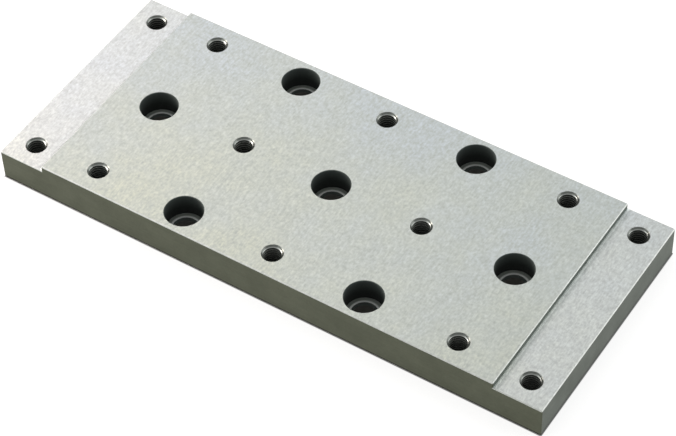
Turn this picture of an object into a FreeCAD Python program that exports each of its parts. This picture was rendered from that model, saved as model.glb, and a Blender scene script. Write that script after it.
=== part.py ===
import FreeCAD, Part
import os

import Sketcher

# Fixture base plate: one piece of ground steel with a raised pad and a lower ledge at each end.
# Cap screws hold it down through counterbored holes. Tapped holes between them, and two in each
# ledge, take the fixtures. Both kinds share one square grid and alternate like a chessboard.
# The origin is the middle of the underside, X runs along the plate and Z is up out of the pad.

NODE = "base_plate"

# The hole grid on the pad, counted along X and along Y. Its corner holes are tapped.
COLUMNS = 5
ROWS = 3
# Holes of one kind stand this many grid steps apart in their own row.
CHESSBOARD_STEP = 2

# Name, millimetres, meaning
DIMENSIONS = (
    ("hole_pitch", 40.0, "between neighbouring grid holes, along and across"),
    ("pad_end_margin", 20.0, "from the outer column of holes to the end of the pad"),
    ("side_wall", 2.5, "metal between a counterbore and the long side"),
    ("ledge_length", 20.0, "ledge at each end, along the plate"),
    ("ledge_thickness", 14.0, "plate under the ledges"),
    ("pad_rise", 2.5, "pad above the ledges"),
    ("edge_break", 0.4, "chamfer on the outer edges"),
    ("clearance_dia", 9.0, "clearance hole of an M8 cap screw"),
    ("counterbore_dia", 15.0, "recess of the cap screw's head"),
    ("counterbore_depth", 9.5, "recess of the cap screw's head"),
    ("counterbore_rim", 0.25, "chamfer on the recess's mouth"),
    ("seat_chamfer", 0.8, "chamfer on the clearance hole where the screw's head seats"),
    ("clearance_exit", 0.5, "chamfer on the clearance hole at the underside"),
    ("tap_drill_dia", 6.8, "bore of an M8 thread"),
    ("thread_chamfer", 0.9, "chamfer at both ends of a tapped hole"),
)

PAD_LENGTH = f"({COLUMNS - 1} * dims.hole_pitch + 2 * dims.pad_end_margin)"
PLATE_LENGTH = f"({PAD_LENGTH} + 2 * dims.ledge_length)"
PLATE_WIDTH = f"({ROWS - 1} * dims.hole_pitch + dims.counterbore_dia + 2 * dims.side_wall)"
PLATE_THICKNESS = "(dims.ledge_thickness + dims.pad_rise)"
THREAD_MOUTH_DIA = "(dims.tap_drill_dia + 2 * dims.thread_chamfer)"
GRID_LEFT = f"(-{COLUMNS - 1} * dims.hole_pitch / 2)"
GRID_FRONT = f"(-{ROWS - 1} * dims.hole_pitch / 2)"
LEDGE_HOLE_SPACING = f"({PAD_LENGTH} + dims.ledge_length)"

# Two lengths closer than this, in millimetres, are the same
NEAR = 1e-4

# How a sketch names the points of a line or circle, its own origin and its X axis
START = 1
END = 2
CENTRE = 3
SKETCH_ORIGIN = (-1, 1)
SKETCH_X_AXIS = -1


def make_sheet(doc):
    """The driving dimensions, one row each."""
    sheet = doc.addObject("Spreadsheet::Sheet", "dims")
    for row, (alias, value, meaning) in enumerate(DIMENSIONS, start=1):
        sheet.set(f"A{row}", meaning)
        sheet.set(f"B{row}", str(value))
        sheet.setAlias(f"B{row}", alias)
    doc.recompute()
    return sheet


def origin_part(body, role):
    """One of the body's own origin planes or axes."""
    return next(part for part in body.Origin.OriginFeatures if part.Role == role)


def level_sketch(body, name, height):
    """An empty sketch that lies flat at the given height."""
    sketch = body.newObject("Sketcher::SketchObject", name)
    sketch.AttachmentSupport = [(origin_part(body, "XY_Plane"), "")]
    sketch.MapMode = "FlatFace"
    sketch.setExpression(".AttachmentOffset.Base.z", height)
    return sketch


def bind(sketch, constraint, expression):
    """Add a dimension to a sketch and tie it to the sheet."""
    number = sketch.addConstraint(constraint)
    sketch.setExpression(f"Constraints[{number}]", expression)


def draw_rectangle(sketch, left, right, width):
    """A rectangle between two places along X, centred on the X axis, drawn front edge first."""
    # Rough corners, which the dimensions below put in place
    corners = [(-2.0, -1.0), (-1.0, -1.0), (-1.0, 1.0), (-2.0, 1.0)]
    points = [FreeCAD.Vector(x, y, 0) for x, y in corners]
    sides = [Part.LineSegment(a, b) for a, b in zip(points, points[1:] + points[:1])]
    front, right_side, back, left_side = sketch.addGeometry(sides)
    ring = (front, right_side, back, left_side)
    for side, following in zip(ring, ring[1:] + ring[:1]):
        sketch.addConstraint(Sketcher.Constraint("Coincident", side, END, following, START))
    for side in (front, back):
        sketch.addConstraint(Sketcher.Constraint("Horizontal", side))
    sketch.addConstraint(Sketcher.Constraint("Vertical", right_side))
    sketch.addConstraint(Sketcher.Constraint("Symmetric", front, START, back, END, SKETCH_X_AXIS))
    bind(sketch, Sketcher.Constraint("DistanceX", *SKETCH_ORIGIN, front, START, -2.0), left)
    bind(sketch, Sketcher.Constraint("DistanceX", *SKETCH_ORIGIN, front, END, -1.0), right)
    bind(sketch, Sketcher.Constraint("DistanceY", front, END, back, START, 2.0), width)


def finish_cut(doc, body, base, feature):
    """Put a cut on the body, and stop if it takes no metal away from the feature before it."""
    body.Tip = feature
    doc.recompute()
    if not feature.Shape.Volume < base.Shape.Volume:
        raise RuntimeError(f"{feature.Name} cuts nothing")


def make_blank(doc, body):
    """The full block, before its ends are milled down."""
    sketch = level_sketch(body, "blank_outline", "0")
    draw_rectangle(sketch, f"-{PLATE_LENGTH} / 2", f"{PLATE_LENGTH} / 2", PLATE_WIDTH)
    blank = body.newObject("PartDesign::Pad", "blank")
    blank.Profile = sketch
    blank.setExpression("Length", PLATE_THICKNESS)
    doc.recompute()


def mill_ledges(doc, body):
    """The lower ledge at the left end, and its mirror image at the right end."""
    sketch = level_sketch(body, "ledge_outline", PLATE_THICKNESS)
    draw_rectangle(sketch, f"-{PLATE_LENGTH} / 2", f"-{PAD_LENGTH} / 2", PLATE_WIDTH)
    blank = body.Tip
    ledge = body.newObject("PartDesign::Pocket", "left_ledge")
    ledge.Profile = sketch
    ledge.setExpression("Length", "dims.pad_rise")
    finish_cut(doc, body, blank, ledge)
    mirrored = body.newObject("PartDesign::Mirrored", "right_ledge")
    mirrored.Originals = [ledge]
    mirrored.MirrorPlane = (origin_part(body, "YZ_Plane"), [""])
    finish_cut(doc, body, ledge, mirrored)


def chamfer_edges(doc, body, name, size, wanted):
    """Chamfer every edge of the body that the test picks."""
    base = body.Tip
    edges = enumerate(base.Shape.Edges, start=1)
    names = [f"Edge{number}" for number, edge in edges if wanted(edge)]
    if not names:
        raise RuntimeError(f"{name} finds no edge")
    chamfer = body.newObject("PartDesign::Chamfer", name)
    chamfer.Base = (base, names)
    chamfer.setExpression("Size", size)
    finish_cut(doc, body, base, chamfer)


def break_outer_edges(doc, body, sheet):
    """Take the sharpness off every outer edge. The inner corners at the foot of the pad stay."""
    plate_end = body.Shape.BoundBox.XMax

    def outside(edge):
        middle = edge.CenterOfMass
        on_ledge = abs(middle.z - sheet.ledge_thickness) < NEAR
        runs_across = abs(middle.y) < NEAR
        return not (on_ledge and runs_across and abs(middle.x) < plate_end - NEAR)

    chamfer_edges(doc, body, "outer_edge_break", "dims.edge_break", outside)


def drill(doc, body, name, place, cut_type, dimensions):
    """One stepped hole, right through, straight down from its sketch."""
    x, y, height = place
    sketch = level_sketch(body, f"{name}_place", height)
    up = FreeCAD.Vector(0, 0, 1)
    circle = sketch.addGeometry(Part.Circle(FreeCAD.Vector(-1, -1, 0), up, 1))
    bind(sketch, Sketcher.Constraint("Diameter", circle, 2.0), dimensions["Diameter"])
    bind(sketch, Sketcher.Constraint("DistanceX", *SKETCH_ORIGIN, circle, CENTRE, -1.0), x)
    bind(sketch, Sketcher.Constraint("DistanceY", *SKETCH_ORIGIN, circle, CENTRE, -1.0), y)
    doc.recompute()
    base = body.Tip
    hole = body.newObject("PartDesign::Hole", name)
    hole.Profile = sketch
    hole.DepthType = "ThroughAll"
    hole.HoleCutType = cut_type
    for key, expression in dimensions.items():
        hole.setExpression(key, expression)
    finish_cut(doc, body, base, hole)
    return hole


def repeat(doc, body, hole, along, across):
    """Repeat a hole along X and along Y. Each direction is a number of holes and their spacing."""
    pattern = body.newObject("PartDesign::LinearPattern", f"{hole.Name}_pattern")
    pattern.Originals = [hole]
    pattern.Direction = (origin_part(body, "X_Axis"), [""])
    pattern.Occurrences, spacing = along
    pattern.setExpression("Length", f"{max(pattern.Occurrences - 1, 1)} * {spacing}")
    pattern.Direction2 = (origin_part(body, "Y_Axis"), [""])
    pattern.Occurrences2, spacing = across
    pattern.setExpression("Length2", f"{max(pattern.Occurrences2 - 1, 1)} * {spacing}")
    finish_cut(doc, body, hole, pattern)


def drill_on_grid(doc, body, name, first, cut_type, dimensions):
    """Every second grid hole, from a first column and row on, in both directions."""
    column, row = first
    x = f"{GRID_LEFT} + {column} * dims.hole_pitch"
    y = f"{GRID_FRONT} + {row} * dims.hole_pitch"
    hole = drill(doc, body, name, (x, y, PLATE_THICKNESS), cut_type, dimensions)
    spacing = f"{CHESSBOARD_STEP} * dims.hole_pitch"
    along = len(range(column, COLUMNS, CHESSBOARD_STEP))
    across = len(range(row, ROWS, CHESSBOARD_STEP))
    repeat(doc, body, hole, (along, spacing), (across, spacing))


def cap_screw_holes(doc, body):
    """Counterbored holes: the outer rows first, then the middle row."""
    dimensions = {
        "Diameter": "dims.clearance_dia",
        "HoleCutDiameter": "dims.counterbore_dia",
        "HoleCutDepth": "dims.counterbore_depth",
    }
    drill_on_grid(doc, body, "cap_screw_hole_outer", (1, 0), "Counterbore", dimensions)
    drill_on_grid(doc, body, "cap_screw_hole_middle", (0, 1), "Counterbore", dimensions)


def tapped_holes(doc, body):
    """Tapped holes on the pad, in the places that the cap screws leave, and on the ledges."""
    dimensions = {"Diameter": "dims.tap_drill_dia", "HoleCutDiameter": THREAD_MOUTH_DIA}
    drill_on_grid(doc, body, "tapped_hole_outer", (0, 0), "Countersink", dimensions)
    drill_on_grid(doc, body, "tapped_hole_middle", (1, 1), "Countersink", dimensions)
    place = (f"-{LEDGE_HOLE_SPACING} / 2", GRID_FRONT, "dims.ledge_thickness")
    hole = drill(doc, body, "tapped_hole_ledge", place, "Countersink", dimensions)
    repeat(doc, body, hole, (2, LEDGE_HOLE_SPACING), (2, f"{ROWS - 1} * dims.hole_pitch"))


def ring_at(diameter, height):
    """A test for the round edges of one diameter at one height."""

    def wanted(edge):
        if not isinstance(edge.Curve, Part.Circle):
            return False
        same_size = abs(edge.Curve.Radius - diameter / 2) < NEAR
        return same_size and abs(edge.Curve.Center.z - height) < NEAR

    return wanted


def break_hole_edges(doc, body, sheet):
    """Chamfer the screw seats and the counterbores' rims, and all the holes at the underside."""
    pad_top = sheet.ledge_thickness + sheet.pad_rise
    seat = pad_top - sheet.counterbore_depth
    rings = (
        ("counterbore_rims", "dims.counterbore_rim", ring_at(sheet.counterbore_dia, pad_top)),
        ("screw_seats", "dims.seat_chamfer", ring_at(sheet.clearance_dia, seat)),
        ("clearance_exits", "dims.clearance_exit", ring_at(sheet.clearance_dia, 0.0)),
        ("thread_exits", "dims.thread_chamfer", ring_at(sheet.tap_drill_dia, 0.0)),
    )
    for name, size, wanted in rings:
        chamfer_edges(doc, body, name, size, wanted)


def make_plate(doc, sheet):
    """The whole plate, in the order in which it is machined."""
    body = doc.addObject("PartDesign::Body", NODE)
    body.Label = NODE
    make_blank(doc, body)
    mill_ledges(doc, body)
    break_outer_edges(doc, body, sheet)
    cap_screw_holes(doc, body)
    tapped_holes(doc, body)
    break_hole_edges(doc, body, sheet)
    return body


def check(doc, body):
    """Stop on a failed feature, or on a shape that isn't one sound solid."""
    for feature in doc.Objects:
        if "Invalid" in feature.State or "Error" in feature.State:
            raise RuntimeError(f"{feature.Name} failed: {feature.State}")
    shape = body.Shape
    if shape.isNull() or not shape.isValid() or len(shape.Solids) != 1:
        raise RuntimeError(f"{body.Label} isn't one valid solid")


def main():
    doc = FreeCAD.newDocument("fixture_base_plate")
    sheet = make_sheet(doc)
    plate = make_plate(doc, sheet)
    doc.recompute()
    check(doc, plate)
    os.makedirs("parts", exist_ok=True)
    plate.Shape.exportStep(f"parts/{plate.Label}.step")
    box = plate.Shape.BoundBox
    print(f"{plate.Label}: {box.XLength:.2f} x {box.YLength:.2f} x {box.ZLength:.2f} mm,")
    print(f"{plate.Shape.Volume:.1f} cubic mm, {len(plate.Shape.Faces)} faces")


main()
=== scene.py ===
import math

import bmesh
import bpy
from mathutils import Matrix, Vector


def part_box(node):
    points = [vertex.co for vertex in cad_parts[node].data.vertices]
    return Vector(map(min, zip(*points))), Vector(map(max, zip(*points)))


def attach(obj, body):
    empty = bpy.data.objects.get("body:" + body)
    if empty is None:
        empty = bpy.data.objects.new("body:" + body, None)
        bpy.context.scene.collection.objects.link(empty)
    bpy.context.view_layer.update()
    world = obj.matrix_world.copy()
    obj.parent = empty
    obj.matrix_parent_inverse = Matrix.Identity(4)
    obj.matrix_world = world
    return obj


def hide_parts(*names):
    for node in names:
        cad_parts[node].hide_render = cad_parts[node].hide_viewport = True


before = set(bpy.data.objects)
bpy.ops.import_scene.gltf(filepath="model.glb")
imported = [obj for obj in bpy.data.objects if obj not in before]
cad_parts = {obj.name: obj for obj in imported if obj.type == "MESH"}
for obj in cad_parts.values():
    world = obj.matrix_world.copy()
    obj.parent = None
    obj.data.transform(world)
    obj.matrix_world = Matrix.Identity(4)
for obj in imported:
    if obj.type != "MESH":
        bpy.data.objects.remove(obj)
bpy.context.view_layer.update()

# A fixture base plate of ground steel, alone on a pale floor: one piece, with a raised pad, a lower
# ledge at each end, seven holes for cap screws and twelve M8 threads. The pad and the ledges are
# ground bright. The sides and the holes keep the dark finish that the plate had before.
# X runs along the plate and Z is up out of the pad. Dimensions are in millimetres, and only the
# lights have theirs in metres.

MM = 0.001

PLATE_NODE = "base_plate"
PLATE_LOW, PLATE_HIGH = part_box(PLATE_NODE)
PLATE_LENGTH = (PLATE_HIGH.x - PLATE_LOW.x) / MM
PLATE_WIDTH = (PLATE_HIGH.y - PLATE_LOW.y) / MM
PAD_TOP = PLATE_HIGH.z / MM

LEDGE_LENGTH = 20.0
PAD_RISE = 2.5
EDGE_BREAK = 0.4
LEDGE_TOP = PAD_TOP - PAD_RISE
PAD_END = PLATE_LENGTH / 2 - LEDGE_LENGTH

# The holes for M8 cap screws
CLEARANCE_DIA = 9.0
COUNTERBORE_DIA = 15.0
COUNTERBORE_DEPTH = 9.5
COUNTERBORE_RIM = 0.25
SEAT_CHAMFER = 0.8
CLEARANCE_EXIT = 0.5
SEAT = PAD_TOP - COUNTERBORE_DEPTH

# The M8 coarse thread, with a metric thread's 60 degree profile
THREAD_DIA = 8.0
THREAD_PITCH = 1.25
THREAD_ROOT_FLAT = THREAD_PITCH / 8
THREAD_FLANK = math.radians(30)
TAP_DRILL_DIA = 6.8
THREAD_CHAMFER = 0.9
THREAD_LIP = 0.3
# How far the tap's core stays clear of the drilled bore, so that only its teeth cut
THREAD_CORE_CLEARANCE = 0.2

# The places of the holes, in steps of the pitch from the middle of the plate
HOLE_PITCH = 40.0
CAP_SCREW_STEPS = ((-1, -1), (1, -1), (-2, 0), (0, 0), (2, 0), (-1, 1), (1, 1))
TAPPED_STEPS = ((-2, -1), (0, -1), (2, -1), (-1, 0), (1, 0), (-2, 1), (0, 1), (2, 1))
LEDGE_HOLE = PLATE_LENGTH / 2 - LEDGE_LENGTH / 2
CAP_SCREW_PLACES = [(x * HOLE_PITCH, y * HOLE_PITCH) for x, y in CAP_SCREW_STEPS]
TAPPED_PLACES = [(x * HOLE_PITCH, y * HOLE_PITCH) for x, y in TAPPED_STEPS]
LEDGE_PLACES = [(x, y) for x in (-LEDGE_HOLE, LEDGE_HOLE) for y in (-HOLE_PITCH, HOLE_PITCH)]

# How far a cutter runs past the surface that it goes through, and how finely it is turned
OVERRUN = 1.0
BORE_SEGMENTS = 96
TAP_DRILL_SEGMENTS = 64
THREAD_SEGMENTS = 48

# How many faces round off a broken edge
EDGE_SEGMENTS = 3
# Faces that meet at less than the first angle count as one flat face, and those that meet at less
# than the second as one smooth surface
FLAT_UNDER = math.radians(1)
SMOOTH_UNDER = math.radians(35)

# Two places closer than this are the same
NEAR = 0.02
# Points closer than this are merged
MERGE_UNDER = NEAR / 10
# A point closer than this to the plane of a cut counts as on it
CUT_UNDER = NEAR / 100
# A face whose normal has a share of at least this along an axis faces that way
FACING = 0.999
# A normal's share along an axis may be this far from the one that is looked for
SLOPE_NEAR = 0.02

# The camera, fitted to the holes and edges of a picture of this width in pixels
IMAGE_WIDTH = 676
FOCAL_LENGTH = 2442
SENSOR_WIDTH = 36.0
CAMERA_AZIMUTH = math.radians(34.45)
CAMERA_ELEVATION = math.radians(48.29)
CAMERA_ROLL = math.radians(-2.27)
CAMERA_DISTANCE = 912.4
CAMERA_TARGET = (11.28, -12.76, 16.5)

# A Mix node's sockets, by number: its share, then what it mixes and what comes out, as values and
# as colours
MIX_SHARE = 0
FIRST_VALUE = 2
SECOND_VALUE = 3
MIXED_VALUE = 0
FIRST_COLOUR = 6
SECOND_COLOUR = 7
MIXED_COLOUR = 2

# How deep the marks of the tools and the wheel look
RELIEF = 0.004
# The size of a milling cutter's line along X, Y and Z, on a side and on an end. The lines are about
# 0.2 mm apart on the real plate. They are drawn coarser, so that they show.
SIDE_LINE = (30.0, 0.6, 0.5)
END_LINE = (0.6, 30.0, 0.5)

WHITE = "#ffffff"
ROOM_BRIGHTNESS = 0.5
FLOOR_SIZE = 5000.0
FLOOR_GAP = 0.1
FLOOR_GLOW = 0.75
# The glow starts this far past the plate's outline and is whole at the second distance. The unlit strip
# before it is a painted contact shadow.
PAINTED_SHADOW_WIDTH = 0.15
GLOW_WHOLE = 0.35


def metres(*millimetres):
    """Millimetres to metres, as a tuple."""
    return tuple(value * MM for value in millimetres)


def select_only(obj):
    """Leave one object selected and active."""
    bpy.ops.object.select_all(action="DESELECT")
    obj.select_set(True)
    bpy.context.view_layer.objects.active = obj


def settle(obj):
    """Put an object's place, turn and size into its mesh."""
    select_only(obj)
    bpy.ops.object.transform_apply(location=True, rotation=True, scale=True)


def pick(obj, kind, wanted):
    """In edit mode, select the edges or faces that a test picks, and nothing else."""
    bpy.ops.mesh.select_mode(type=kind)
    bpy.ops.mesh.select_all(action="DESELECT")
    mesh = bmesh.from_edit_mesh(obj.data)
    parts = mesh.edges if kind == "EDGE" else mesh.faces
    for part in parts:
        part.select_set(wanted(part))
    mesh.select_flush_mode()
    bmesh.update_edit_mesh(obj.data)


def apply_modifier(obj, name, kind, **settings):
    """Add a modifier with its settings and apply it."""
    select_only(obj)
    modifier = obj.modifiers.new(name, kind)
    for key, value in settings.items():
        setattr(modifier, key, value)
    bpy.ops.object.modifier_apply(modifier=name)


def face_outwards(obj):
    """Merge doubled points and turn every face outwards."""
    select_only(obj)
    bpy.ops.object.mode_set(mode="EDIT")
    bpy.ops.mesh.select_all(action="SELECT")
    bpy.ops.mesh.remove_doubles(threshold=MERGE_UNDER * MM)
    bpy.ops.mesh.normals_make_consistent(inside=False)
    bpy.ops.object.mode_set(mode="OBJECT")


def on_pad(face):
    """True for the face in the middle of the plate's top."""
    return face.normal.z > FACING and abs(face.calc_center_median().x) < NEAR * MM


def is_outer_edge(edge):
    """True for every edge but the inner corners at the foot of the pad."""
    middle = (edge.verts[0].co + edge.verts[1].co) / 2 / MM
    runs_across = abs(middle.y) < NEAR
    at_foot = abs(middle.z - LEDGE_TOP) < NEAR and abs(middle.x) < PAD_END + NEAR
    return not (runs_across and at_foot)


def make_blank():
    """The plate before it is drilled: a slab, the pad raised from it, and the edges broken."""
    bpy.ops.object.select_all(action="DESELECT")
    size = metres(PLATE_LENGTH, PLATE_WIDTH, LEDGE_TOP)
    bpy.ops.mesh.primitive_cube_add(size=1, location=metres(0, 0, LEDGE_TOP / 2), scale=size)
    blank = bpy.context.object
    blank.name = "fixture_plate"
    blank.data.name = "fixture_plate"
    settle(blank)
    bpy.ops.object.mode_set(mode="EDIT")
    for end in (-PAD_END, PAD_END):
        bpy.ops.mesh.select_all(action="SELECT")
        bpy.ops.mesh.bisect(plane_co=metres(end, 0, 0), plane_no=(1, 0, 0))
    pick(blank, "FACE", on_pad)
    bpy.ops.mesh.extrude_region_move(TRANSFORM_OT_translate={"value": metres(0, 0, PAD_RISE)})
    bpy.ops.mesh.select_all(action="SELECT")
    bpy.ops.mesh.dissolve_limited(angle_limit=FLAT_UNDER)
    pick(blank, "EDGE", is_outer_edge)
    bpy.ops.mesh.bevel(offset=EDGE_BREAK * MM, segments=EDGE_SEGMENTS, affect="EDGES")
    bpy.ops.object.mode_set(mode="OBJECT")
    return blank


def turn_cutter(name, rings, segments):
    """A turned cutter, closed at both ends. Its rings are radius and height, from the bottom up."""
    (radius, height), *upper = rings
    bpy.ops.object.select_all(action="DESELECT")
    bpy.ops.mesh.primitive_circle_add(
        vertices=segments, radius=radius * MM, fill_type="NGON", location=metres(0, 0, height)
    )
    cutter = bpy.context.object
    cutter.name = name
    settle(cutter)
    bpy.ops.object.mode_set(mode="EDIT")
    bpy.ops.mesh.select_mode(type="FACE")
    bpy.ops.mesh.select_all(action="SELECT")
    for next_radius, next_height in upper:
        rise = metres(0, 0, next_height - height)
        bpy.ops.mesh.extrude_region_move(TRANSFORM_OT_translate={"value": rise})
        grow = next_radius / radius
        bpy.ops.transform.resize(value=(grow, grow, 1), center_override=metres(0, 0, next_height))
        radius = next_radius
        height = next_height
    bpy.ops.object.mode_set(mode="OBJECT")
    face_outwards(cutter)
    return cutter


def cap_screw_cutter():
    """The hole of a cap screw: clearance hole, chamfered seat and counterbore."""
    clearance = CLEARANCE_DIA / 2
    counterbore = COUNTERBORE_DIA / 2
    rings = (
        (clearance + CLEARANCE_EXIT + OVERRUN, -OVERRUN),
        (clearance, CLEARANCE_EXIT),
        (clearance, SEAT - SEAT_CHAMFER),
        (clearance + SEAT_CHAMFER, SEAT),
        (counterbore, SEAT),
        (counterbore, PAD_TOP - COUNTERBORE_RIM),
        (counterbore + COUNTERBORE_RIM + OVERRUN, PAD_TOP + OVERRUN),
    )
    return turn_cutter("cap_screw_cutter", rings, BORE_SEGMENTS)


def tap_drill_cutter(top):
    """The bore that is drilled for a thread, chamfered at both ends."""
    bore = TAP_DRILL_DIA / 2
    mouth = bore + THREAD_CHAMFER + OVERRUN
    rings = (
        (mouth, -OVERRUN),
        (bore + THREAD_LIP, THREAD_CHAMFER - THREAD_LIP),
        (bore, THREAD_CHAMFER),
        (bore, top - THREAD_CHAMFER),
        (bore + THREAD_LIP, top - THREAD_CHAMFER + THREAD_LIP),
        (mouth, top + OVERRUN),
    )
    return turn_cutter("tap_drill_cutter", rings, TAP_DRILL_SEGMENTS)


def thread_profile(bottom):
    """One pitch of a tap's tooth, as a chain of points from its core out to its crest and back. Its
    first point is a small square that is merged into one."""
    crest = THREAD_DIA / 2
    core = TAP_DRILL_DIA / 2 - THREAD_CORE_CLEARANCE
    flank = (crest - core) * math.tan(THREAD_FLANK)
    gap = THREAD_PITCH - THREAD_ROOT_FLAT - 2 * flank
    steps = ((0, gap), (crest - core, flank), (0, THREAD_ROOT_FLAT), (core - crest, flank))
    bpy.ops.object.select_all(action="DESELECT")
    bpy.ops.mesh.primitive_plane_add(size=MM, location=metres(core, 0, bottom))
    profile = bpy.context.object
    settle(profile)
    bpy.ops.object.mode_set(mode="EDIT")
    bpy.ops.mesh.select_mode(type="VERT")
    bpy.ops.mesh.select_all(action="SELECT")
    bpy.ops.mesh.merge(type="CENTER")
    for outwards, upwards in steps:
        step = metres(outwards, 0, upwards)
        bpy.ops.mesh.extrude_vertices_move(TRANSFORM_OT_translate={"value": step})
    bpy.ops.object.mode_set(mode="OBJECT")
    return profile


def tap_cutter(top):
    """A tap: its tooth wound into a helix, and both ends cut off square past the plate."""
    spare = 2 * THREAD_PITCH
    cutter = thread_profile(-OVERRUN - spare)
    cutter.name = "tap_cutter"
    height = top + 2 * OVERRUN + 2 * spare
    apply_modifier(
        cutter,
        "winding",
        "SCREW",
        screw_offset=THREAD_PITCH * MM,
        iterations=math.ceil(height / THREAD_PITCH),
        steps=THREAD_SEGMENTS,
        render_steps=THREAD_SEGMENTS,
    )
    face_outwards(cutter)
    bpy.ops.object.mode_set(mode="EDIT")
    for level, is_top in ((-OVERRUN, False), (top + OVERRUN, True)):
        bpy.ops.mesh.select_all(action="SELECT")
        bpy.ops.mesh.bisect(
            plane_co=metres(0, 0, level),
            plane_no=(0, 0, 1),
            use_fill=True,
            clear_outer=is_top,
            clear_inner=not is_top,
            threshold=CUT_UNDER * MM,
        )
    bpy.ops.object.mode_set(mode="OBJECT")
    face_outwards(cutter)
    return cutter


def copies_at(places, cutter):
    """A copy of the cutter at each place. The cutter itself is used up."""
    copies = []
    for x, y in places:
        select_only(cutter)
        bpy.ops.object.duplicate()
        copy = bpy.context.object
        copy.location = metres(x, y, 0)
        copies.append(copy)
    bpy.data.objects.remove(cutter)
    return copies


def cut(plate, cutters):
    """Cut a set of cutters out of the plate, all at once."""
    bpy.ops.object.select_all(action="DESELECT")
    for cutter in cutters:
        cutter.select_set(True)
    gang = cutters[0]
    bpy.context.view_layer.objects.active = gang
    bpy.ops.object.join()
    settle(gang)
    apply_modifier(plate, "cut", "BOOLEAN", object=gang, operation="DIFFERENCE", solver="MANIFOLD")
    bpy.data.objects.remove(gang)


def drill_holes(plate):
    """Drill and counterbore the holes for cap screws, and drill and tap the threads."""
    drills = copies_at(CAP_SCREW_PLACES, cap_screw_cutter())
    drills += copies_at(TAPPED_PLACES, tap_drill_cutter(PAD_TOP))
    drills += copies_at(LEDGE_PLACES, tap_drill_cutter(LEDGE_TOP))
    cut(plate, drills)
    taps = copies_at(TAPPED_PLACES, tap_cutter(PAD_TOP))
    taps += copies_at(LEDGE_PLACES, tap_cutter(LEDGE_TOP))
    cut(plate, taps)


def smooth(plate):
    """Shade round faces smooth and keep flat ones flat, up to the broken edges."""
    select_only(plate)
    bpy.ops.object.shade_smooth_by_angle(angle=SMOOTH_UNDER)
    apply_modifier(plate, "flat_faces", "WEIGHTED_NORMAL", keep_sharp=True)


def linear(hex_colour):
    """An sRGB hex colour as linear values, with alpha."""
    channels = [int(hex_colour[start:start + 2], 16) / 255 for start in (1, 3, 5)]
    curved = [c / 12.92 if c <= 0.04045 else ((c + 0.055) / 1.055) ** 2.4 for c in channels]
    return (*curved, 1.0)


def per_metre(size):
    """How many patches of a size in millimetres fit in a metre, as a texture's scale."""
    return 1 / (size * MM)


def add_node(tree, kind, inputs, **settings):
    """Add a node with its settings. Each of its inputs is a value, or the socket that feeds it. An
    input goes by its name, or by its number where several have one name."""
    node = tree.nodes.new(kind)
    for key, value in settings.items():
        setattr(node, key, value)
    for key, value in inputs.items():
        if isinstance(value, bpy.types.NodeSocket):
            tree.links.new(value, node.inputs[key])
        else:
            node.inputs[key].default_value = value
    return node


def start_finish(name, metallic):
    """A finish with nothing set but how metallic it is, and the place that its patterns follow."""
    material = bpy.data.materials.new(name)
    material.use_nodes = True
    tree = material.node_tree
    shader = tree.nodes["Principled BSDF"]
    shader.inputs["Metallic"].default_value = metallic
    place = add_node(tree, "ShaderNodeTexCoord", {}).outputs["Object"]
    return material, tree, shader, place


def end_finish(tree, shader, colour, relief, dulling, roughness):
    """Give the shader its colour, its relief, and a roughness that goes from the first value to the
    second as a pattern goes from nothing to one."""
    rough = add_node(
        tree, "ShaderNodeMapRange", {"Value": dulling, "To Min": roughness[0], "To Max": roughness[1]}
    )
    bump = add_node(tree, "ShaderNodeBump", {"Height": relief, "Distance": RELIEF * MM})
    tree.links.new(colour, shader.inputs["Base Color"])
    tree.links.new(rough.outputs["Result"], shader.inputs["Roughness"])
    tree.links.new(bump.outputs["Normal"], shader.inputs["Normal"])


def tool_lines(tree, place, line):
    """A pattern of the lines that a tool leaves, from a line's size along X, Y and Z."""
    stretched = add_node(
        tree, "ShaderNodeMapping", {"Vector": place, "Scale": [per_metre(size) for size in line]}
    )
    lines = add_node(
        tree, "ShaderNodeTexNoise", {"Vector": stretched.outputs["Vector"], "Scale": 1.0, "Detail": 2.0}
    )
    return lines.outputs["Fac"]


def brightness_from(tree, colour, distance, reach, share, easing="LINEAR"):
    """A colour at a share of its brightness up to the start of a reach, and as it is past its end."""
    scale = add_node(
        tree,
        "ShaderNodeMapRange",
        {
            "Value": distance,
            "From Min": reach[0] * MM,
            "From Max": reach[1] * MM,
            "To Min": share,
            "To Max": 1.0,
        },
        interpolation_type=easing,
    )
    scaled = add_node(
        tree, "ShaderNodeVectorMath", {0: colour, "Scale": scale.outputs["Result"]}, operation="SCALE"
    )
    return scaled.outputs["Vector"]


def coolant_film(tree, place, towards_back, bright, tinted):
    """Bright steel under a film of dried coolant, which tints it in cloudy patches. The film gets
    thicker towards the back of the plate."""
    stain = 45.0
    # What the film gains in thickness over a metre, and where it starts to tint and tints fully
    film_drift = 3.0
    thin_film = 0.25
    thick_film = 0.75
    stains = add_node(
        tree,
        "ShaderNodeTexNoise",
        {"Vector": place, "Scale": per_metre(stain), "Detail": 5.0, "Roughness": 0.7},
    )
    drifting = add_node(
        tree,
        "ShaderNodeMath",
        {0: towards_back, 1: film_drift, 2: stains.outputs["Fac"]},
        operation="MULTIPLY_ADD",
    )
    film = add_node(
        tree,
        "ShaderNodeMapRange",
        {"Value": drifting.outputs["Value"], "From Min": thin_film, "From Max": thick_film},
    )
    tint = add_node(
        tree,
        "ShaderNodeMix",
        {MIX_SHARE: film.outputs["Result"], FIRST_COLOUR: linear(bright), SECOND_COLOUR: linear(tinted)},
        data_type="RGBA",
    )
    return tint.outputs[MIXED_COLOUR]


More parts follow.
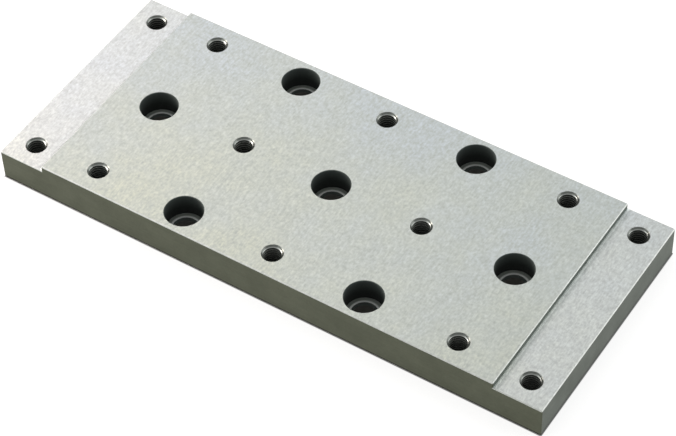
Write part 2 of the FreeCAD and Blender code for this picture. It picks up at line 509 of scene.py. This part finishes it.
def ground_steel(name, dull, bright, tinted, roughness, foot=1.0):
    """Steel from a surface grinder, silver with a breath of green. The wheel's lines run across the
    plate, and its grit leaves a fine frost of lighter and darker specks. The coolant has left a film.
    A strip of the ledges at the foot of the pad is painted foot times as bright: painted light that
    cancels the shade the pad casts there."""
    # The wheel's lines are 0.05 mm apart on the real plate and the specks are hardly larger. Both are
    # drawn coarser, so that they show.
    line = (0.55, 2.2, 2.2)
    frost_grain = 1.2
    line_share = 0.5
    # The frost is dull up to the first value of its pattern and bright from the second on
    frost_dull = 0.32
    frost_bright = 0.68
    # The painted light strip is brightest up to the first place along the plate, and ends at the second
    foot_light_strip = (PAD_END + 0.5, PAD_END + 1.4)
    material, tree, shader, place = start_finish(name, 1.0)
    lines = tool_lines(tree, place, line)
    grains = add_node(
        tree,
        "ShaderNodeTexNoise",
        {"Vector": place, "Scale": per_metre(frost_grain), "Detail": 2.0, "Roughness": 0.75},
    )
    frost = add_node(
        tree,
        "ShaderNodeMix",
        {MIX_SHARE: line_share, FIRST_VALUE: grains.outputs["Fac"], SECOND_VALUE: lines},
        data_type="FLOAT",
    )
    contrast = add_node(
        tree,
        "ShaderNodeMapRange",
        {"Value": frost.outputs[MIXED_VALUE], "From Min": frost_dull, "From Max": frost_bright},
    )
    parts = add_node(tree, "ShaderNodeSeparateXYZ", {"Vector": place})
    frosted = add_node(
        tree,
        "ShaderNodeMix",
        {
            MIX_SHARE: contrast.outputs["Result"],
            FIRST_COLOUR: linear(dull),
            SECOND_COLOUR: coolant_film(tree, place, parts.outputs["Y"], bright, tinted),
        },
        data_type="RGBA",
    )
    outward = add_node(tree, "ShaderNodeMath", {0: parts.outputs["X"]}, operation="ABSOLUTE")
    # Painted light: the ledges' strip at the foot of the pad is brightened to cancel the shade beside the
    # step
    colour = brightness_from(
        tree, frosted.outputs[MIXED_COLOUR], outward.outputs["Value"], foot_light_strip, foot, "SMOOTHSTEP"
    )
    end_finish(tree, shader, colour, frost.outputs[MIXED_VALUE], grains.outputs["Fac"], roughness)
    return material


def blackened_steel(name, shade, worn, roughness, line):
    """Milled steel with a thin black oxide skin, satin and a little green. The cutter's faint lines
    show through it, and the skin is thinner in soft patches, so that it looks even but not painted.
    A dark line along its bottom edge is painted contact shadow."""
    skin_metallic = 0.65
    patch = 9.0
    patch_share = 0.4
    # The skin's specks are about 0.2 mm across on the real plate. They are drawn coarser.
    speck = 0.8
    speck_share = 0.5
    # The painted contact shadow is dark up to the first height and gone at the second
    contact_shadow_line = (0.6, 0.9)
    contact_shadow_share = 0.15
    material, tree, shader, place = start_finish(name, skin_metallic)
    lines = tool_lines(tree, place, line)
    patches = add_node(
        tree, "ShaderNodeTexNoise", {"Vector": place, "Scale": per_metre(patch), "Detail": 2.0}
    )
    specks = add_node(
        tree, "ShaderNodeTexNoise", {"Vector": place, "Scale": per_metre(speck), "Detail": 1.0}
    )
    grain = add_node(
        tree,
        "ShaderNodeMix",
        {MIX_SHARE: speck_share, FIRST_VALUE: lines, SECOND_VALUE: specks.outputs["Fac"]},
        data_type="FLOAT",
    )
    thin = add_node(
        tree,
        "ShaderNodeMix",
        {
            MIX_SHARE: patch_share,
            FIRST_VALUE: grain.outputs[MIXED_VALUE],
            SECOND_VALUE: patches.outputs["Fac"],
        },
        data_type="FLOAT",
    )
    skin = add_node(
        tree,
        "ShaderNodeMix",
        {MIX_SHARE: thin.outputs[MIXED_VALUE], FIRST_COLOUR: linear(shade), SECOND_COLOUR: linear(worn)},
        data_type="RGBA",
    )
    parts = add_node(tree, "ShaderNodeSeparateXYZ", {"Vector": place})
    # Painted shadow: darker along the bottom edge, where the plate meets the floor
    colour = brightness_from(tree, skin.outputs[MIXED_COLOUR], parts.outputs["Z"], contact_shadow_line, contact_shadow_share)
    end_finish(tree, shader, colour, grain.outputs[MIXED_VALUE], patches.outputs["Fac"], roughness)
    return material


def from_axis(tree, place):
    """How far a place lies from the axis of its hole. The pad's holes stand in the middle of squares
    one pitch wide. The ledges' holes don't, but their rings are too small for that to show."""
    half = HOLE_PITCH / 2 * MM
    around = add_node(
        tree,
        "ShaderNodeVectorMath",
        {0: place, 1: (half, half, half), 2: (-half, -half, -half)},
        operation="WRAP",
    )
    flat = add_node(
        tree,
        "ShaderNodeVectorMath",
        {0: around.outputs["Vector"], 1: (1.0, 1.0, 0.0)},
        operation="MULTIPLY",
    )
    radius = add_node(tree, "ShaderNodeVectorMath", {0: flat.outputs["Vector"]}, operation="LENGTH")
    return radius.outputs["Value"]


def rubbed_by_heads(tree, colour, radius, rubbed):
    """A seat's colour where the screws' heads have rubbed it, brighter from their edge inwards."""
    head_edge = 6.4
    head_grip = 5.8
    inward = add_node(
        tree,
        "ShaderNodeMapRange",
        {"Value": radius, "From Min": head_edge * MM, "From Max": head_grip * MM},
    )
    brighter = add_node(
        tree,
        "ShaderNodeMix",
        {MIX_SHARE: inward.outputs["Result"], FIRST_COLOUR: colour, SECOND_COLOUR: linear(rubbed)},
        data_type="RGBA",
    )
    return brighter.outputs[MIXED_COLOUR]


def turned_steel(name, metallic, shade, worn, roughness, deep=1.0, rubbed=None):
    """Steel cut by a turning tool, in fine rings about the axis of each hole. Deep in a hole it keeps
    only a share of its brightness: painted shade that darkens it towards the bottom. A screw's seat also
    has the colour that it is rubbed to."""
    # The rings are 0.1 mm apart on the real plate and the specks are about as small. Both are drawn
    # coarser, so that they show.
    ring = 0.45
    speck = 0.7
    speck_share = 0.3
    # The painted shade is deepest up to the first height and gone at the second
    depth_shade_reach = (PAD_TOP - 6.0, PAD_TOP)
    material, tree, shader, place = start_finish(name, metallic)
    radius = from_axis(tree, place)
    parts = add_node(tree, "ShaderNodeSeparateXYZ", {"Vector": place})
    along = add_node(tree, "ShaderNodeMath", {0: radius, 1: parts.outputs["Z"]}, operation="ADD")
    rings = add_node(
        tree,
        "ShaderNodeTexNoise",
        {"W": along.outputs["Value"], "Scale": per_metre(ring), "Detail": 2.0},
        noise_dimensions="1D",
    )
    specks = add_node(
        tree, "ShaderNodeTexNoise", {"Vector": place, "Scale": per_metre(speck), "Detail": 1.0}
    )
    grain = add_node(
        tree,
        "ShaderNodeMix",
        {MIX_SHARE: speck_share, FIRST_VALUE: rings.outputs["Fac"], SECOND_VALUE: specks.outputs["Fac"]},
        data_type="FLOAT",
    )
    turned = add_node(
        tree,
        "ShaderNodeMix",
        {MIX_SHARE: grain.outputs[MIXED_VALUE], FIRST_COLOUR: linear(shade), SECOND_COLOUR: linear(worn)},
        data_type="RGBA",
    )
    colour = turned.outputs[MIXED_COLOUR]
    if rubbed:
        colour = rubbed_by_heads(tree, colour, radius, rubbed)
    # Painted shade: darker towards the bottom of the hole
    colour = brightness_from(tree, colour, parts.outputs["Z"], depth_shade_reach, deep)
    end_finish(tree, shader, colour, grain.outputs[MIXED_VALUE], specks.outputs["Fac"], roughness)
    return material


def off_centre(x, y, places):
    """How far a point lies from the middle of the nearest of the places."""
    return min(math.hypot(x - hole_x, y - hole_y) for hole_x, hole_y in places)


def is_chamfer(face):
    """True for a face that slopes at 45 degrees."""
    return abs(abs(face.normal.z) - math.sqrt(0.5)) < SLOPE_NEAR


def finish_at(face):
    """The name of the finish that a face of the plate has, by its place and the way it faces. The
    underside is ground as the pad is."""
    x, y, z = face.calc_center_median() / MM
    up = face.normal.z
    is_level = abs(up) > FACING
    from_screw = off_centre(x, y, CAP_SCREW_PLACES)
    from_thread = off_centre(x, y, TAPPED_PLACES + LEDGE_PLACES)
    if from_screw < COUNTERBORE_DIA / 2 and is_level and abs(z - SEAT) < NEAR:
        return "seat"
    if from_screw < COUNTERBORE_DIA / 2 + COUNTERBORE_RIM and not is_level:
        if z > SEAT:
            return "bore"
        return "chamfer" if is_chamfer(face) else "drilled"
    if from_thread < TAP_DRILL_DIA / 2 + THREAD_CHAMFER and not is_level:
        if is_chamfer(face):
            return "lip" if from_thread < TAP_DRILL_DIA / 2 + THREAD_LIP else "mouth"
        is_crest = from_thread < TAP_DRILL_DIA / 2 + NEAR and abs(up) < SLOPE_NEAR
        return "crest" if is_crest else "thread"
    if is_level:
        return "ledge" if up > 0 and z < PAD_TOP - NEAR else "pad"
    if z > LEDGE_TOP - EDGE_BREAK - NEAR and up > SLOPE_NEAR:
        return "edge"
    if abs(face.normal.x) > FACING:
        return "step" if z > LEDGE_TOP else "end"
    return "side"


# The first roughness of a finish is that of its darker places, and the second that of its brighter ones
FINISHES = {
    "pad": ground_steel(
        "ground_pad", dull="#a9afa9", bright="#c5c9b9", tinted="#bec6ca", roughness=(0.62, 0.48)
    ),
    "ledge": ground_steel(
        "ground_ledge",
        dull="#a9adab",
        bright="#c9cdc3",
        tinted="#c2c9cc",
        roughness=(0.55, 0.41),
        # foot: painted light at the foot of the pad, which cancels the shade there
        foot=1.75,
    ),
    "side": blackened_steel(
        "blackened_side", shade="#3a3d2d", worn="#5b5f4c", roughness=(0.55, 0.45), line=SIDE_LINE
    ),
    "end": blackened_steel(
        "blackened_end", shade="#373e33", worn="#5e665c", roughness=(0.55, 0.45), line=END_LINE
    ),
    "step": blackened_steel(
        "blackened_step", shade="#434b42", worn="#6f7871", roughness=(0.55, 0.45), line=END_LINE
    ),
    # The bore, the threads and their crests get painted shade deep in the hole
    "bore": turned_steel(
        "blackened_bore", metallic=0.2, shade="#3b4341", worn="#555e59", roughness=(0.8, 0.7), deep=0.3
    ),
    "chamfer": turned_steel(
        "blackened_chamfer", metallic=0.2, shade="#3b4341", worn="#555e59", roughness=(0.8, 0.7)
    ),
    "drilled": turned_steel(
        "drilled_clearance", metallic=0.4, shade="#7c7a76", worn="#9c9a95", roughness=(0.6, 0.5)
    ),
    "seat": turned_steel(
        "blackened_seat",
        metallic=0.15,
        shade="#767d76",
        worn="#9aa09a",
        roughness=(0.5, 0.4),
        rubbed="#ecf0ec",
    ),
    "mouth": turned_steel(
        "countersunk_mouth", metallic=0.8, shade="#595d58", worn="#8c908b", roughness=(0.35, 0.25)
    ),
    "lip": turned_steel(
        "cut_thread_start", metallic=1.0, shade="#7b7f79", worn="#ccd0cc", roughness=(0.4, 0.3)
    ),
    "thread": turned_steel(
        "blackened_thread",
        metallic=0.8,
        shade="#343833",
        worn="#50544e",
        roughness=(0.45, 0.35),
        deep=0.5,
    ),
    "crest": turned_steel(
        "worn_thread_crest",
        metallic=0.5,
        shade="#aeb2ac",
        worn="#dce0da",
        roughness=(0.55, 0.45),
        deep=0.5,
    ),
    "edge": ground_steel(
        "broken_edge", dull="#bec2bc", bright="#d6d9d4", tinted="#d4d6d6", roughness=(0.4, 0.3)
    ),
}


def finish_plate(plate):
    """Give each face its finish."""
    plate.data.materials.clear()
    for material in FINISHES.values():
        plate.data.materials.append(material)
    select_only(plate)
    bpy.ops.object.mode_set(mode="EDIT")
    for number, name in enumerate(FINISHES):
        pick(plate, "FACE", lambda face: finish_at(face) == name)
        plate.active_material_index = number
        bpy.ops.object.material_slot_assign()
    bpy.ops.object.mode_set(mode="OBJECT")


def add_floor():
    """A light table of matt opal acrylic, just clear of the plate's underside. It mirrors nothing. It
    glows around the plate, but not under it, where it would light the holes. It does not glow in a thin
    strip just past the plate's outline either: a painted contact shadow."""
    bpy.ops.object.select_all(action="DESELECT")
    bpy.ops.mesh.primitive_plane_add(size=FLOOR_SIZE * MM, location=metres(0, 0, -FLOOR_GAP))
    floor = bpy.context.object
    floor.name = "floor"
    settle(floor)
    material, tree, shader, place = start_finish("opal_acrylic", 0.0)
    shader.inputs["Base Color"].default_value = linear("#b3b3b2")
    shader.inputs["Roughness"].default_value = 1.0
    shader.inputs["Specular IOR Level"].default_value = 0.0
    shader.inputs["Emission Color"].default_value = linear(WHITE)
    # How far a place lies past the plate's outline. Under the plate it is less than nothing.
    outward = add_node(tree, "ShaderNodeVectorMath", {0: place}, operation="ABSOLUTE")
    outline = metres(PLATE_LENGTH / 2, PLATE_WIDTH / 2, 0)
    past = add_node(
        tree, "ShaderNodeVectorMath", {0: outward.outputs["Vector"], 1: outline}, operation="SUBTRACT"
    )
    parts = add_node(tree, "ShaderNodeSeparateXYZ", {"Vector": past.outputs["Vector"]})
    furthest = add_node(
        tree, "ShaderNodeMath", {0: parts.outputs["X"], 1: parts.outputs["Y"]}, operation="MAXIMUM"
    )
    glow = add_node(
        tree,
        "ShaderNodeMapRange",
        {
            "Value": furthest.outputs["Value"],
            "From Min": PAINTED_SHADOW_WIDTH * MM,
            "From Max": GLOW_WHOLE * MM,
            "To Max": FLOOR_GLOW,
        },
    )
    tree.links.new(glow.outputs["Result"], shader.inputs["Emission Strength"])
    floor.data.materials.append(material)


def add_softbox(name, place, size, watts, colour):
    """A square soft light that faces the plate. Its place and size are in metres."""
    lamp = bpy.data.lights.new(name, "AREA")
    lamp.shape = "SQUARE"
    lamp.size = size
    lamp.energy = watts
    lamp.color = linear(colour)[:3]
    softbox = bpy.data.objects.new(name, lamp)
    bpy.context.scene.collection.objects.link(softbox)
    softbox.location = place
    softbox.rotation_euler = (-Vector(place)).to_track_quat("-Z", "Y").to_euler()


def light_studio():
    """A dim white room. Two softboxes behind the plate shine on its top and leave its near sides and
    its holes dark. A low one on the left skims the top and catches the rims of the holes. One on the
    right lights the right end, and one in front on the left lights the front."""
    world = bpy.data.worlds.new("studio")
    world.use_nodes = True
    background = world.node_tree.nodes["Background"]
    background.inputs["Color"].default_value = linear(WHITE)
    background.inputs["Strength"].default_value = ROOM_BRIGHTNESS
    scene = bpy.context.scene
    scene.world = world
    # The plain transform, because the finishes' colours are measured without a film curve
    scene.view_settings.view_transform = "Standard"
    add_softbox("wide_softbox_behind", (-0.46, 0.73, 0.97), size=1.3, watts=4.6, colour=WHITE)
    add_softbox("softbox_behind_on_the_left", (-0.75, 0.45, 0.9), size=0.3, watts=1.8, colour="#ffeaee")
    add_softbox("low_softbox_on_the_left", (-0.5, -0.16, 0.14), size=0.2, watts=1.6, colour="#fff4ee")
    add_softbox("softbox_on_the_right", (0.85, 0.8, 0.5), size=1.0, watts=4.5, colour=WHITE)
    add_softbox("softbox_in_front_on_the_left", (-0.8, -0.75, 0.6), size=0.8, watts=2.0, colour=WHITE)


def add_camera():
    """The camera at the angle, distance and tilt of the picture."""
    back = Vector((
        math.sin(CAMERA_AZIMUTH) * math.cos(CAMERA_ELEVATION),
        -math.cos(CAMERA_AZIMUTH) * math.cos(CAMERA_ELEVATION),
        math.sin(CAMERA_ELEVATION),
    ))
    level = Vector((math.cos(CAMERA_AZIMUTH), math.sin(CAMERA_AZIMUTH), 0))
    right = Matrix.Rotation(CAMERA_ROLL, 3, back) @ level
    up = back.cross(right)
    lens = bpy.data.cameras.new("camera")
    lens.sensor_width = SENSOR_WIDTH
    lens.lens = FOCAL_LENGTH / IMAGE_WIDTH * SENSOR_WIDTH
    camera = bpy.data.objects.new("camera", lens)
    place = Vector(metres(*CAMERA_TARGET)) + CAMERA_DISTANCE * MM * back
    turn = Matrix((right, up, back)).transposed().to_4x4()
    camera.matrix_world = Matrix.Translation(place) @ turn
    bpy.context.scene.collection.objects.link(camera)
    bpy.context.scene.camera = camera


plate = make_blank()
drill_holes(plate)
smooth(plate)
finish_plate(plate)
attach(plate, "root")
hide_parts(PLATE_NODE)

add_floor()
light_studio()
add_camera()
